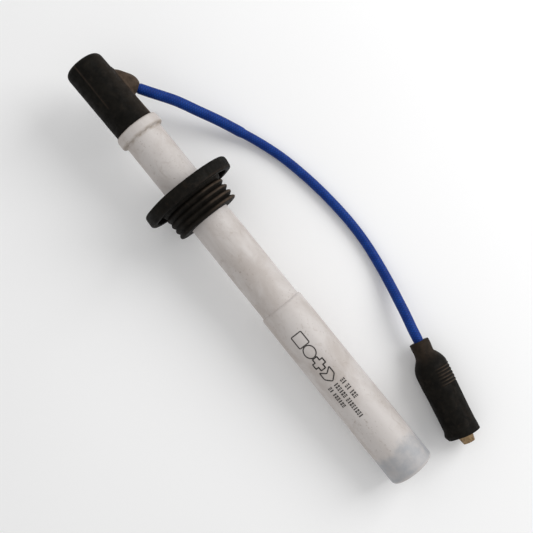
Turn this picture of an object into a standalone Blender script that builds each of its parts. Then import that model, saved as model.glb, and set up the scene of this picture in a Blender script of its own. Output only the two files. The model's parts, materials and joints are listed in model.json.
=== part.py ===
"""Flame sensor probe lead.

A white insulating tube carries a conductor from a sprung contact in its socket end to a rubber elbow boot
at its collar. A ribbed rubber seal with a wide flange sits on the tube. A blue lead runs from the elbow to a
straight rubber connector. The probe lies on a flat surface: it rests on the flange's rim, on the edge of the
socket end and on the connector, so its axis slopes down towards the socket.

Along the probe, a station is the distance in millimetres from the top of the elbow boot. On the lead, a
station is the distance from the neck of the connector boot or from the mouth of the elbow's outlet.
"""

import math

import bpy
from mathutils import Vector

MM = 0.001
GAP = 0.3  # between touching pieces

# Outside of the probe: stations and radii in millimetres.
BOOT_TOP_R, BOOT_FOOT_R, BOOT_EDGE = 14.25, 14.95, 4.4
COLLAR_TOP, COLLAR_R, COLLAR_FOOT, COLLAR_EDGE = 58.3, 17.1, 65.4, 1.2
COLLAR_MOUTH_R, COLLAR_MOUTH_DEPTH = 15.7, 4.5
UPPER_R, MIDDLE_R = 14.45, 15.2
TUBE_SHOULDER = 126.0  # where the tube grows from UPPER_R to MIDDLE_R, inside the seal
SLEEVE_TOP, SLEEVE_TOP_R, SLEEVE_TOP_EDGE = 219.3, 16.7, 1.5
SLEEVE_END, SLEEVE_END_R, SLEEVE_END_EDGE = 367.0, 17.1, 3.2
FLANGE_TOP, FLANGE_FOOT, FLANGE_R, FLANGE_EDGE = 112.2, 121.7, 35.0, 1.5
FLANGE_LIP_R, FLANGE_HOLLOW = 30.2, 117.5
SEAL_END = 140.6
RIB_COUNT, RIB_FIRST, RIB_PITCH, RIB_R, RIB_VALLEY_R = 4, 125.5, 4.7, 23.8, 22.3

# Inside of the probe.
STEM_R, STEM_END, STEM_BORE_R = 9.6, 90.5, 5.6
TUBE_SOCKET_R, TUBE_SOCKET_END = 10.0, 104.0
O_RING_R, O_RING_WIRE = 11.6, 0.9
O_RING_GROOVE_TOP, O_RING_GROOVE_FOOT = 222.6, 225.2
ROD_R, ROD_TOP, ROD_END = 3.0, 86.0, 265.0
ROD_HOLE_R = ROD_R + GAP
SPIGOT_R, SPIGOT_END = 12.5, 255.0
MOUTH_BORE_R, MOUTH_BORE_TOP = 12.5, 312.0
CHAMBER_R, CHAMBER_END = 9.5, 297.7
CUP_R, CUP_BORE_R, CUP_END = 7.3, 5.7, 322.0
PLUNGER_TIP = 334.0

# The elbow's outlet leans from the probe's axis and points to the lead's side and a little down.
OUTLET_STATION, OUTLET_REACH = 37.2, 21.0
OUTLET_LEAN, OUTLET_AZIMUTH = math.radians(36.65), math.radians(115.0)
OUTLET_R, OUTLET_DOME = 7.8, 10.0

# The lead and its connector, in millimetres on the surface that the probe lies on.
LEAD_R = 3.5
LEAD_HOLE_R = LEAD_R + GAP
CONNECTOR_PLACE = (116.47, 59.75, 12.45)
CONNECTOR_TURN = math.radians(-12.96)
CONNECTOR_LENGTH, CONNECTOR_SHOULDER_R, CONNECTOR_BORE_R = 71.5, 12.45, 6.2
NOSE_LENGTH = 7.2
LEAD_ROUTE = (
    (-162.34, 8.21, 38.35),
    (-156.87, 12.0, 36.17),
    (-151.39, 15.79, 34.0),
    (-146.7, 19.03, 32.14),
    (-140.45, 23.36, 29.66),
    (-126.07, 33.77, 22.8),
    (-111.77, 41.72, 16.8),
    (-97.07, 49.63, 11.6),
    (-81.77, 56.63, 7.5),
    (-65.77, 63.25, 4.8),
    (-48.97, 68.56, 3.8),
    (-31.77, 72.2, 3.7),
    (-14.37, 74.78, 3.7),
    (3.03, 76.37, 3.7),
    (20.53, 77.05, 3.7),
    (37.93, 76.28, 3.7),
    (55.13, 74.03, 4.3),
    (72.13, 70.77, 6.9),
    (87.33, 67.21, 10.3),
    (96.83, 64.75, 12.0),
    (106.72, 61.99, 12.45),
    (116.47, 59.75, 12.45),
    (131.09, 56.39, 12.45),
    (145.41, 53.09, 12.45),
)

SIDES = 24  # sides of the large turned pieces
SMALL_SIDES = 16  # sides of the small ones inside

WHITE = (0.62, 0.60, 0.57)
RUBBER = (0.018, 0.017, 0.015)
LINER_GREY = (0.16, 0.16, 0.17)
BLUE = (0.012, 0.045, 0.22)
BRASS = (0.62, 0.42, 0.16)
STEEL = (0.55, 0.55, 0.56)
COPPER = (0.70, 0.30, 0.16)
CERAMIC = (0.50, 0.36, 0.28)


def rest_slope():
    """The slope at which the flange's rim and the socket's edge both touch the surface."""
    along = (SLEEVE_END - SLEEVE_END_EDGE) - (FLANGE_FOOT - FLANGE_EDGE)
    down = (FLANGE_R - FLANGE_EDGE) - (SLEEVE_END_R - SLEEVE_END_EDGE)
    edges = FLANGE_EDGE - SLEEVE_END_EDGE
    return math.atan2(down, along) + math.asin(edges / math.hypot(along, down))


def probe_place(slope):
    """Station 0 of the probe's axis, with the probe's box centred on X and its lowest point at Z 0."""
    cos, sin = math.cos(slope), math.sin(slope)
    low_end = BOOT_EDGE * cos - (BOOT_TOP_R - BOOT_EDGE) * sin - BOOT_EDGE
    far_station = SLEEVE_END - SLEEVE_END_EDGE
    high_end = far_station * cos + (SLEEVE_END_R - SLEEVE_END_EDGE) * sin + SLEEVE_END_EDGE
    rim_station = FLANGE_FOOT - FLANGE_EDGE
    height = rim_station * sin + (FLANGE_R - FLANGE_EDGE) * cos + FLANGE_EDGE
    return Vector((-(low_end + high_end) / 2, 0, height)) * MM


def clear_scene():
    for old in list(bpy.data.objects):
        bpy.data.objects.remove(old, do_unlink=True)


def new_collection(name):
    collection = bpy.data.collections.new(name)
    bpy.context.scene.collection.children.link(collection)
    return collection


def new_material(name, colour, roughness, metallic=0.0):
    material = bpy.data.materials.new(name)
    material.use_nodes = True
    shader = material.node_tree.nodes["Principled BSDF"]
    shader.inputs["Base Color"].default_value = (*colour, 1)
    shader.inputs["Roughness"].default_value = roughness
    shader.inputs["Metallic"].default_value = metallic
    return material


def new_frame(collection, name, location, rotation, parent=None):
    """An empty that carries pieces: its local Z points against the stations, its local X points up."""
    frame = bpy.data.objects.new(name, None)
    collection.objects.link(frame)
    frame.parent = parent
    frame.location = location
    frame.rotation_euler = rotation
    return frame


def place(obj, collection, parent, material=None):
    """Puts a new object in its collection, under its parent, with its material."""
    for old in obj.users_collection:
        old.objects.unlink(obj)
    collection.objects.link(obj)
    obj.parent = parent
    if material:
        obj.data.materials.append(material)
    return obj


def arc(radius, station, edge, start, end, steps=3):
    """Points of an edge's arc about (radius, station): 0 degrees is outwards, 90 is up the probe."""
    turns = [math.radians(start + (end - start) * i / steps) for i in range(steps + 1)]
    return [(radius + edge * math.cos(a), station - edge * math.sin(a)) for a in turns]


def turned_mesh(name, outline):
    """A profile of (radius, station) points. One that starts off the axis is a closed ring."""
    vertices = [(r * MM, 0, -s * MM) for r, s in outline]
    edges = [(i, i + 1) for i in range(len(outline) - 1)]
    if outline[0][0] > 0:
        edges.append((len(outline) - 1, 0))
    mesh = bpy.data.meshes.new(name)
    mesh.from_pydata(vertices, edges, [])
    return mesh


def turned(name, outline, collection, parent, material=None, sides=SIDES):
    """A turned piece: the outline runs down its outer side and is spun about the parent's axis."""
    obj = bpy.data.objects.new(name, turned_mesh(name, outline))
    place(obj, collection, parent, material)
    spin = obj.modifiers.new("spin", "SCREW")
    spin.angle = math.tau
    spin.steps = spin.render_steps = sides
    spin.use_merge_vertices = True
    spin.merge_threshold = 0.00001
    spin.use_smooth_shade = False
    return obj


def ring(name, radius, wire, station, collection, parent, material):
    """An O-ring or wire ring round the axis."""
    bpy.ops.mesh.primitive_torus_add(
        major_radius=radius * MM, minor_radius=wire * MM, major_segments=SIDES, minor_segments=6
    )
    obj = bpy.context.object
    obj.name = obj.data.name = name
    place(obj, collection, parent, material)
    obj.location = (0, 0, -station * MM)
    return obj


def smooth_path(points, per_span):
    """Points of a smooth curve through the given ones, with per_span steps between each two."""
    ends = [2 * points[0] - points[1], *points, 2 * points[-1] - points[-2]]
    found = []
    for i in range(1, len(ends) - 2):
        before, start, end, after = ends[i - 1 : i + 3]
        for step in range(per_span):
            t = step / per_span
            found.append(
                0.5
                * (
                    2 * start
                    + (end - before) * t
                    + (2 * before - 5 * start + 4 * end - after) * t * t
                    + (3 * start - before - 3 * end + after) * t**3
                )
            )
    return [*found, points[-1]]


def rod_along(name, points, radius, sides_level, collection, parent, material):
    """A round wire along points in metres, with filled ends."""
    curve = bpy.data.curves.new(name, "CURVE")
    curve.dimensions = "3D"
    curve.bevel_depth = radius * MM
    curve.bevel_resolution = sides_level
    curve.use_fill_caps = True
    spline = curve.splines.new("POLY")
    spline.points.add(len(points) - 1)
    for point, place_of in zip(spline.points, points):
        point.co = (*place_of, 1)
    obj = bpy.data.objects.new(name, curve)
    return place(obj, collection, parent, material)


def cut(obj, cutter, operation="DIFFERENCE"):
    cutter.hide_render = True
    cutter.display_type = "WIRE"
    boolean = obj.modifiers.new(cutter.name, "BOOLEAN")
    boolean.operation = operation
    boolean.object = cutter


def make_upper_tube(parts, probe, white):
    mouth_floor = COLLAR_TOP + COLLAR_MOUTH_DEPTH
    groove_r = O_RING_R - O_RING_WIRE - GAP
    outline = [
        *arc(COLLAR_R - COLLAR_EDGE, COLLAR_TOP + COLLAR_EDGE, COLLAR_EDGE, 90, 0),
        (COLLAR_R, COLLAR_FOOT),
        (COLLAR_R - 1.1, COLLAR_FOOT + 1.9),
        (UPPER_R, COLLAR_FOOT + 2.7),
        (UPPER_R, TUBE_SHOULDER),
        (MIDDLE_R, TUBE_SHOULDER + MIDDLE_R - UPPER_R),
        (MIDDLE_R, SLEEVE_TOP - GAP),
        (SPIGOT_R, SLEEVE_TOP - GAP),
        (SPIGOT_R, O_RING_GROOVE_TOP),
        (groove_r, O_RING_GROOVE_TOP),
        (groove_r, O_RING_GROOVE_FOOT),
        (SPIGOT_R, O_RING_GROOVE_FOOT),
        (SPIGOT_R, SPIGOT_END - 0.5),
        (SPIGOT_R - 0.5, SPIGOT_END),
        (ROD_HOLE_R, SPIGOT_END),
        (ROD_HOLE_R, TUBE_SOCKET_END),
        (TUBE_SOCKET_R, TUBE_SOCKET_END),
        (TUBE_SOCKET_R, mouth_floor),
        (COLLAR_MOUTH_R, mouth_floor),
        (COLLAR_MOUTH_R, COLLAR_TOP + 0.05),
    ]
    turned("upper_tube", outline, parts, probe, white)


def make_socket_sleeve(parts, probe, white):
    thread_r = SPIGOT_R + GAP
    outline = [
        *arc(SLEEVE_TOP_R - SLEEVE_TOP_EDGE, SLEEVE_TOP + SLEEVE_TOP_EDGE, SLEEVE_TOP_EDGE, 90, 0),
        *arc(SLEEVE_END_R - SLEEVE_END_EDGE, SLEEVE_END - SLEEVE_END_EDGE, SLEEVE_END_EDGE, 0, -90),
        (MOUTH_BORE_R + 0.4, SLEEVE_END),
        (MOUTH_BORE_R, SLEEVE_END - 0.4),
        (MOUTH_BORE_R, MOUTH_BORE_TOP),
        (CUP_R + GAP, MOUTH_BORE_TOP),
        (CUP_R + GAP, CHAMBER_END),
        (CHAMBER_R, CHAMBER_END),
        (CHAMBER_R, SPIGOT_END + GAP),
        (thread_r, SPIGOT_END + GAP),
        (thread_r, SLEEVE_TOP),
    ]
    turned("socket_sleeve", outline, parts, probe, white)


def make_flange_seal(parts, probe, rubber):
    ribs = []
    for i in range(RIB_COUNT):
        middle = RIB_FIRST + i * RIB_PITCH
        ribs += [
            (RIB_VALLEY_R, middle - 1.9),
            (RIB_R - 0.5, middle - 0.8),
            (RIB_R, middle),
            (RIB_R - 0.6, middle + 0.8),
            (RIB_VALLEY_R, middle + 1.4),
        ]
    bore_step = TUBE_SHOULDER - 2 * GAP
    outline = [
        (UPPER_R + GAP, FLANGE_TOP),
        *arc(FLANGE_R - FLANGE_EDGE, FLANGE_TOP + FLANGE_EDGE, FLANGE_EDGE, 90, 0),
        *arc(FLANGE_R - FLANGE_EDGE, FLANGE_FOOT - FLANGE_EDGE, FLANGE_EDGE, 0, -90, 4),
        (FLANGE_LIP_R + 0.6, FLANGE_FOOT),
        (FLANGE_LIP_R, FLANGE_FOOT - 0.6),
        (FLANGE_LIP_R, FLANGE_HOLLOW + 0.6),
        (FLANGE_LIP_R - 0.6, FLANGE_HOLLOW),
        (24.8, FLANGE_HOLLOW),
        (24.0, FLANGE_HOLLOW + 1.0),
        *ribs,
        (RIB_VALLEY_R - 0.1, SEAL_END - 0.3),
        (RIB_VALLEY_R - 0.4, SEAL_END),
        (MIDDLE_R + GAP, SEAL_END),
        (MIDDLE_R + GAP, bore_step + MIDDLE_R - UPPER_R),
        (UPPER_R + GAP, bore_step),
    ]
    turned("flange_seal", outline, parts, probe, rubber)


def make_elbow_boot(parts, cutters, probe, outlet, rubber):
    """The boot with its domed outlet, hollow inside, and its stem that plugs into the tube."""
    foot = COLLAR_TOP + COLLAR_MOUTH_DEPTH - 0.4
    groove_top, groove_foot, groove_r = 77.8, 80.0, 7.85
    outline = [
        (0, 0),
        *arc(BOOT_TOP_R - BOOT_EDGE, BOOT_EDGE, BOOT_EDGE, 90, 0, 4),
        (BOOT_FOOT_R, COLLAR_TOP - 0.3),
        (BOOT_FOOT_R, foot - 0.9),
        (BOOT_FOOT_R - 0.9, foot),
        (STEM_R, foot),
        (STEM_R, groove_top),
        (groove_r, groove_top),
        (groove_r, groove_foot),
        (STEM_R, groove_foot),
        (STEM_R, STEM_END - 0.8),
        (STEM_R - 0.8, STEM_END),
        (0, STEM_END),
    ]
    boot = turned("elbow_boot", outline, parts, probe, rubber)
    dome = [(0, -27.0), (OUTLET_R, -27.0)]
    for turn in (0, 22, 40, 54, 64):
        angle = math.radians(turn)
        dome.append((OUTLET_R * math.cos(angle), OUTLET_DOME * (math.sin(angle) - 1)))
    dome.append((0, dome[-1][1]))
    cut(boot, turned("outlet_form", dome, cutters, outlet), "UNION")
    hollow = [(0, 5), (8, 5), (10.5, 7.5), (10.5, 46), (STEM_BORE_R, 50.9), (STEM_BORE_R, 95), (0, 95)]
    cut(boot, turned("boot_hollow", hollow, cutters, probe))
    crimp_r = 5.3
    hole = [(0, -28), (crimp_r, -28), (crimp_r, -12), (LEAD_HOLE_R, -12), (LEAD_HOLE_R, 6), (0, 6)]
    cut(boot, turned("lead_hole", hole, cutters, outlet))
    ring("boot_o_ring", 8.9, 0.75, (groove_top + groove_foot) / 2, parts, probe, rubber)


def make_elbow_contacts(parts, probe, outlet, brass, copper):
    """The crimp on the lead's end, the bent strip and the socket that plugs onto the rod."""
    crimp = [
        (0, -26),
        (3.2, -26),
        (4.6, -24.5),
        (4.6, -14),
        (LEAD_HOLE_R, -14),
        (LEAD_HOLE_R, -20.3),
        (1.4, -20.3),
        (1.4, -25),
        (0, -25),
    ]
    turned("elbow_crimp", crimp, parts, outlet, brass, SMALL_SIDES)
    core = [(0, -24.7), (1.1, -24.7), (1.1, -20.3), (0, -20.3)]
    turned("core_end_elbow", core, parts, outlet, copper, 12)
    bend = (
        (5.3, 16.1),
        (3.7, 13.9),
        (1.85, 12.2),
        (-0.4, 11.8),
        (-2.0, 13.1),
        (-2.2, 15.9),
        (-1.3, 20.3),
        (-0.3, 26.0),
        (0, 34.0),
        (0, 50.0),
        (0, 78.7),
    )
    cos, sin = math.cos(OUTLET_AZIMUTH), math.sin(OUTLET_AZIMUTH)
    path = [Vector((reach * cos, reach * sin, -station)) * MM for reach, station in bend]
    rod_along("elbow_terminal", smooth_path(path, 2), 1.4, 2, parts, probe, brass)
    socket = [
        (0, 79),
        (3.6, 79),
        (4.8, 80.2),
        (4.8, 94),
        (ROD_HOLE_R, 94),
        (ROD_HOLE_R, ROD_TOP - GAP),
        (0, ROD_TOP - GAP),
    ]
    turned("rod_socket", socket, parts, probe, brass, SMALL_SIDES)


def plate(inner, outer, top, foot):
    """The outline of a flat ring."""
    return [(inner, top), (outer, top), (outer, foot), (inner, foot)]


def make_rod(parts, cutters, probe, brass, steel):
    """The rod, and the nuts and washers that clamp it to the tube at both ends."""
    rod = [
        (0, ROD_TOP),
        (ROD_R - 0.5, ROD_TOP),
        (ROD_R, ROD_TOP + 0.5),
        (ROD_R, ROD_END - 0.5),
        (ROD_R - 0.5, ROD_END),
        (0, ROD_END),
    ]
    turned("centre_rod", rod, parts, probe, brass, SMALL_SIDES)
    washer, lock_washer, nut = 1.2, 1.2, 5.0
    for end, seat, way in (("top", TUBE_SOCKET_END, -1), ("foot", SPIGOT_END, 1)):
        near = seat + way * GAP
        far = near + way * washer
        outline = plate(ROD_HOLE_R, 7.8, min(near, far), max(near, far))
        turned(f"rod_washer_{end}", outline, parts, probe, steel, SMALL_SIDES)
        near = far + way * GAP
        far = near + way * lock_washer
        outline = plate(ROD_HOLE_R, 5.2, min(near, far), max(near, far))
        turned(f"rod_lock_washer_{end}", outline, parts, probe, steel, SMALL_SIDES)
        near = far + way * GAP
        middle = near + way * nut / 2
        bpy.ops.mesh.primitive_cylinder_add(vertices=6, radius=5.77 * MM, depth=nut * MM)
        hexagon = bpy.context.object
        hexagon.name = hexagon.data.name = f"rod_nut_{end}"
        place(hexagon, parts, probe, brass)
        hexagon.location = (0, 0, -middle * MM)
        hole = [(0, middle - nut), (ROD_HOLE_R, middle - nut), (ROD_HOLE_R, middle + nut), (0, middle + nut)]
        cut(hexagon, turned(f"nut_hole_{end}", hole, cutters, probe, sides=SMALL_SIDES))


def make_suppressor(parts, probe, brass, ceramic):
    top, foot = ROD_END + 1.6, ROD_END + 24.1
    body_r, cap_r, cap_wall, cap_depth = 4.6, 5.6, 1.0, 6.0
    body = [(0, top), (body_r, top), (body_r, foot), (0, foot)]
    turned("suppressor_body", body, parts, probe, ceramic, SMALL_SIDES)
    inner, upper, lower = body_r + GAP, top - GAP, foot + GAP
    upper_cap = [
        (0, upper - cap_wall),
        (cap_r, upper - cap_wall),
        (cap_r, upper - cap_wall + cap_depth),
        (inner, upper - cap_wall + cap_depth),
        (inner, upper),
        (0, upper),
    ]
    lower_cap = [
        (0, lower),
        (inner, lower),
        (inner, lower + cap_wall - cap_depth),
        (cap_r, lower + cap_wall - cap_depth),
        (cap_r, lower + cap_wall),
        (0, lower + cap_wall),
    ]
    turned("suppressor_cap_top", upper_cap, parts, probe, brass, SMALL_SIDES)
    turned("suppressor_cap_foot", lower_cap, parts, probe, brass, SMALL_SIDES)
    return lower + cap_wall + GAP


def make_contact(parts, probe, cup_top, brass, steel):
    """The cup with its sprung plunger, which moves up the probe by up to 6 mm."""
    cup_floor, flange_top, flange_foot = 298.7, 294.7, CHAMBER_END - GAP
    cup = [
        (0, cup_top),
        (4, cup_top),
        (4, flange_top),
        (CHAMBER_R - GAP, flange_top),
        (CHAMBER_R - GAP, flange_foot),
        (CUP_R, flange_foot),
        (CUP_R, CUP_END),
        (CUP_BORE_R, CUP_END),
        (CUP_BORE_R, cup_floor),
        (0, cup_floor),
    ]
    turned("contact_cup", cup, parts, probe, brass, SMALL_SIDES)
    head_top, head_foot, stem_r = 315.0, 318.2, 3.9
    plunger = [
        (0, head_top),
        (CUP_BORE_R - 0.4, head_top),
        (CUP_BORE_R - 0.4, head_foot),
        (stem_r, head_foot),
        (stem_r, PLUNGER_TIP - 0.8),
        (stem_r - 0.8, PLUNGER_TIP),
        (0, PLUNGER_TIP),
    ]
    turned("contact_plunger", plunger, parts, probe, brass, SMALL_SIDES)
    bush = plate(stem_r + GAP, CUP_BORE_R - GAP, head_foot + GAP, CUP_END - GAP)
    turned("contact_retainer", bush, parts, probe, steel, SMALL_SIDES)
    turns, per_turn, wire, coil_r = 6, 10, 0.5, 4.3
    first, last = cup_floor + wire + 0.4, head_top - wire - 0.4
    coil = []
    for i in range(turns * per_turn + 1):
        angle = math.tau * i / per_turn
        station = first + (last - first) * i / (turns * per_turn)
        coil.append(Vector((coil_r * math.cos(angle), coil_r * math.sin(angle), -station)) * MM)
    rod_along("contact_spring", coil, wire, 1, parts, probe, steel)


def make_socket_liner(parts, probe, grey):
    top, foot, inner, outer, lead_in = 324.0, 347.0, 8.8, MOUTH_BORE_R - GAP, 1.2
    outline = [
        (inner, top),
        (outer, top),
        (outer, foot),
        (inner + lead_in, foot),
        (inner, foot - lead_in),
    ]
    turned("socket_liner", outline, parts, probe, grey)


def make_connector(parts, connector, rubber, brass, steel, copper):
    """The straight boot on the lead's end, and the contact in it whose nose stands out of its mouth."""
    length, shoulder = CONNECTOR_LENGTH, CONNECTOR_SHOULDER_R
    boot = [
        (LEAD_HOLE_R, 0),
        *arc(6.5, 0.8, 0.8, 90, 0, 2),
        (7.1, 9.3),
        (8.9, 12.0),
        (10.8, 15.3),
        (12.0, 18.4),
        (shoulder, 21.5),
        (shoulder, 32.0),
        (12.1, 36.0),
        (12.0, length - 8.0),
        (12.35, length - 4.0),
        (12.2, length - 1.0),
        (11.4, length),
        (CONNECTOR_BORE_R, length),
        (CONNECTOR_BORE_R, 15.5),
        (LEAD_HOLE_R, 13.5),
    ]
    turned("connector_boot", boot, parts, connector, rubber)
    core_floor, groove_top, groove_foot, groove_r = 35.0, 58.3, 60.1, 4.5
    terminal = [
        (0, core_floor),
        (1.4, core_floor),
        (1.4, 30.0),
        (LEAD_HOLE_R, 30.0),
        (LEAD_HOLE_R, 18.0),
        (4.6, 18.0),
        (4.6, 29.0),
        (5.5, 32.0),
        (5.5, groove_top),
        (groove_r, groove_top),
        (groove_r, groove_foot),
        (5.5, groove_foot),
        (5.5, length + 0.5),
        (4.0, length + NOSE_LENGTH - 0.4),
        (3.6, length + NOSE_LENGTH),
        (2.8, length + NOSE_LENGTH),
        (2.3, length + NOSE_LENGTH - 2.5),
        (0, length + NOSE_LENGTH - 3.0),
    ]
    turned("connector_terminal", terminal, parts, connector, brass, SMALL_SIDES)
    core = [(0, 30.0), (1.1, 30.0), (1.1, core_floor - GAP), (0, core_floor - GAP)]
    turned("core_end_connector", core, parts, connector, copper, 12)
    ring("terminal_snap_ring", 5.3, 0.4, (groove_top + groove_foot) / 2, parts, connector, steel)


def make_lead(parts, blue):
    route = [Vector(point) * MM for point in LEAD_ROUTE]
    rod_along("lead_cord", smooth_path(route, 2), LEAD_R, 2, parts, None, blue)


def main():
    clear_scene()
    parts = new_collection("flame_sensor_probe")
    cutters = new_collection("cutters")
    white = new_material("white_insulator", WHITE, 0.5)
    rubber = new_material("black_rubber", RUBBER, 0.7)
    grey = new_material("grey_silicone", LINER_GREY, 0.6)
    blue = new_material("blue_silicone", BLUE, 0.45)
    brass = new_material("brass", BRASS, 0.35, 1.0)
    steel = new_material("steel", STEEL, 0.35, 1.0)
    copper = new_material("copper", COPPER, 0.35, 1.0)
    ceramic = new_material("ceramic", CERAMIC, 0.6)

    slope = rest_slope()
    probe = new_frame(parts, "probe_axis", probe_place(slope), (0, slope - math.pi / 2, 0))
    outlet_place = Vector(
        (
            OUTLET_REACH * math.cos(OUTLET_AZIMUTH),
            OUTLET_REACH * math.sin(OUTLET_AZIMUTH),
            -OUTLET_STATION,
        )
    )
    outlet_turn = (0, -OUTLET_LEAN, OUTLET_AZIMUTH)
    outlet = new_frame(parts, "outlet_axis", outlet_place * MM, outlet_turn, probe)
    connector_turn = (0, -math.pi / 2, CONNECTOR_TURN)
    connector = new_frame(parts, "connector_axis", Vector(CONNECTOR_PLACE) * MM, connector_turn)

    make_upper_tube(parts, probe, white)
    make_socket_sleeve(parts, probe, white)
    o_ring_station = (O_RING_GROOVE_TOP + O_RING_GROOVE_FOOT) / 2
    ring("sleeve_o_ring", O_RING_R, O_RING_WIRE, o_ring_station, parts, probe, rubber)
    make_flange_seal(parts, probe, rubber)
    make_elbow_boot(parts, cutters, probe, outlet, rubber)
    make_elbow_contacts(parts, probe, outlet, brass, copper)
    make_rod(parts, cutters, probe, brass, steel)
    cup_top = make_suppressor(parts, probe, brass, ceramic)
    make_contact(parts, probe, cup_top, brass, steel)
    make_socket_liner(parts, probe, grey)
    make_connector(parts, connector, rubber, brass, steel, copper)
    make_lead(parts, blue)


main()
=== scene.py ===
"""Looks of the flame sensor probe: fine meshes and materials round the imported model.

Pieces are made in the frames of the parts that they belong to. In such a frame local Z points back
towards the elbow (or up the lead), local X points up and local Y to the lead's side. A station is the
distance in millimetres from the frame's origin along -Z, and an angle of 0 is up and 90 degrees is the
lead's side.
"""

import json
import math

import bmesh
import bpy
from mathutils import Matrix, Vector, noise


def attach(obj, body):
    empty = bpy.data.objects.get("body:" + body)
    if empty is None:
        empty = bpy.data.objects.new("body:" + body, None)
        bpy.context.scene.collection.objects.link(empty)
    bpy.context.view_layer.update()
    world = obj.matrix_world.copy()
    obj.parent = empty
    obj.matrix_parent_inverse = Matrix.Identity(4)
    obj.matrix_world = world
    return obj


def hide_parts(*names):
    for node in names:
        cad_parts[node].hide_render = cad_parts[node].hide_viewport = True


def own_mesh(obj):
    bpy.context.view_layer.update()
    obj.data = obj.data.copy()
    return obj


MM = 0.001

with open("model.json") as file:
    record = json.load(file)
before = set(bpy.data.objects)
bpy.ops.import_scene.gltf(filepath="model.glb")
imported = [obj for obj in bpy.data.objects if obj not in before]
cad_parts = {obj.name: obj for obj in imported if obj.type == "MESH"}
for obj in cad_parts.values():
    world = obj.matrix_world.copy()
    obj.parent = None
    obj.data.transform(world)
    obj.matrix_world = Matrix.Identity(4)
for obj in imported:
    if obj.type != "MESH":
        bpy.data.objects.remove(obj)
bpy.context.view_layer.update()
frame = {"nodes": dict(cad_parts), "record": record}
mounts = {mount["name"]: mount for mount in frame["record"]["mounts"]}

# Stations and radii, as in the CAD model.
CONTACT_TIP = 334.0
COLLAR_TOP, COLLAR_R, COLLAR_FOOT = 58.3, 17.05, 65.1
UPPER_R, MIDDLE_R, TUBE_STEP, TUBE_END = 14.45, 15.2, 126.0, 255.0
SLEEVE_TOP, SLEEVE_END, SLEEVE_TOP_R, SLEEVE_END_R = 219.3, 367.0, 16.6, 17.0
FLANGE_TOP, FLANGE_FOOT, FLANGE_R, RIB_VALLEY_R = 112.2, 121.7, 35.2, 22.3
OUTLET_STATION, OUTLET_REACH = 37.2, 21.0
OUTLET_LEAN, OUTLET_AZIMUTH = math.radians(36.65), math.radians(115.0)
OUTLET_R, OUTLET_DOME = 7.8, 10.0
CONNECTOR_LENGTH, CONNECTOR_MOUNT_RISE, NOSE_LENGTH = 71.5, 9.0, 7.2
LIP_END = CONNECTOR_LENGTH + 1.0  # the lip stands a little proud
GRIP_RIB_FIRST, GRIP_RIB_STEP = 22.4, 2.35  # on the connector
BOOT_TOP_R, BOOT_FOOT_R, BOOT_EDGE, BOOT_FOOT = 14.4, 14.9, 4.6, 62.4
LEAD_R, LEAD_LENGTH = 3.5, 0.333

# The lead's route from the crimp in the elbow to the crimp in the connector, in metres.
LEAD_ROUTE = (
    (-0.16234, 0.00821, 0.03835),
    (-0.15687, 0.012, 0.03617),
    (-0.15139, 0.01579, 0.034),
    (-0.1467, 0.01903, 0.03214),
    (-0.14045, 0.02336, 0.02966),
    (-0.12607, 0.03377, 0.0228),
    (-0.11177, 0.04172, 0.0168),
    (-0.09707, 0.04963, 0.0116),
    (-0.08177, 0.05663, 0.0075),
    (-0.06577, 0.06325, 0.0048),
    (-0.04897, 0.06856, 0.0038),
    (-0.03177, 0.0722, 0.0037),
    (-0.01437, 0.07478, 0.0037),
    (0.00303, 0.07637, 0.0037),
    (0.02053, 0.07705, 0.0037),
    (0.03793, 0.07628, 0.0037),
    (0.05513, 0.07403, 0.0043),
    (0.07213, 0.07077, 0.0069),
    (0.08733, 0.06721, 0.0103),
    (0.09683, 0.06495, 0.012),
    (0.10672, 0.06239, 0.01245),
    (0.11647, 0.0602, 0.01245),
    (0.13109, 0.05649, 0.01245),
    (0.14541, 0.05309, 0.01245),
)

# The camera looks square at the probe's axis, from above.
CAMERA_STATION, CAMERA_SIDE, CAMERA_DISTANCE = 191.9, 9.66, 690.0
CAMERA_TURN = math.radians(51.04)
CAMERA_VIEW = math.radians(30.28)


def axis_frame(origin, down):
    """A frame whose local -Z is down and whose local X points up."""
    z = -Vector(down).normalized()
    x = (Vector((0, 0, 1)) - z * z.z).normalized()
    y = z.cross(x)
    turn = Matrix((x, y, z)).transposed().to_4x4()
    return Matrix.Translation(origin) @ turn


def probe_frame():
    tip = mounts["contact_tip"]
    axis = Vector(tip["axis"])
    return axis_frame(Vector(tip["pos_m"]) - axis * CONTACT_TIP * MM, axis)


def connector_frame():
    mouth = mounts["connector_mouth"]
    axis = Vector(mouth["axis"])
    middle = Vector(mouth["pos_m"]) - Vector((0, 0, CONNECTOR_MOUNT_RISE * MM))
    return axis_frame(middle - axis * CONNECTOR_LENGTH * MM, axis)


PROBE = probe_frame()
CONNECTOR = connector_frame()
OUTLET_PLACE = Vector(
    (
        OUTLET_REACH * math.cos(OUTLET_AZIMUTH) * MM,
        OUTLET_REACH * math.sin(OUTLET_AZIMUTH) * MM,
        -OUTLET_STATION * MM,
    )
)
OUTLET = (
    Matrix.Translation(OUTLET_PLACE)
    @ Matrix.Rotation(OUTLET_AZIMUTH, 4, "Z")
    @ Matrix.Rotation(-OUTLET_LEAN, 4, "Y")
)  # in the probe's frame


# ---------------------------------------------------------------- materials


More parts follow.
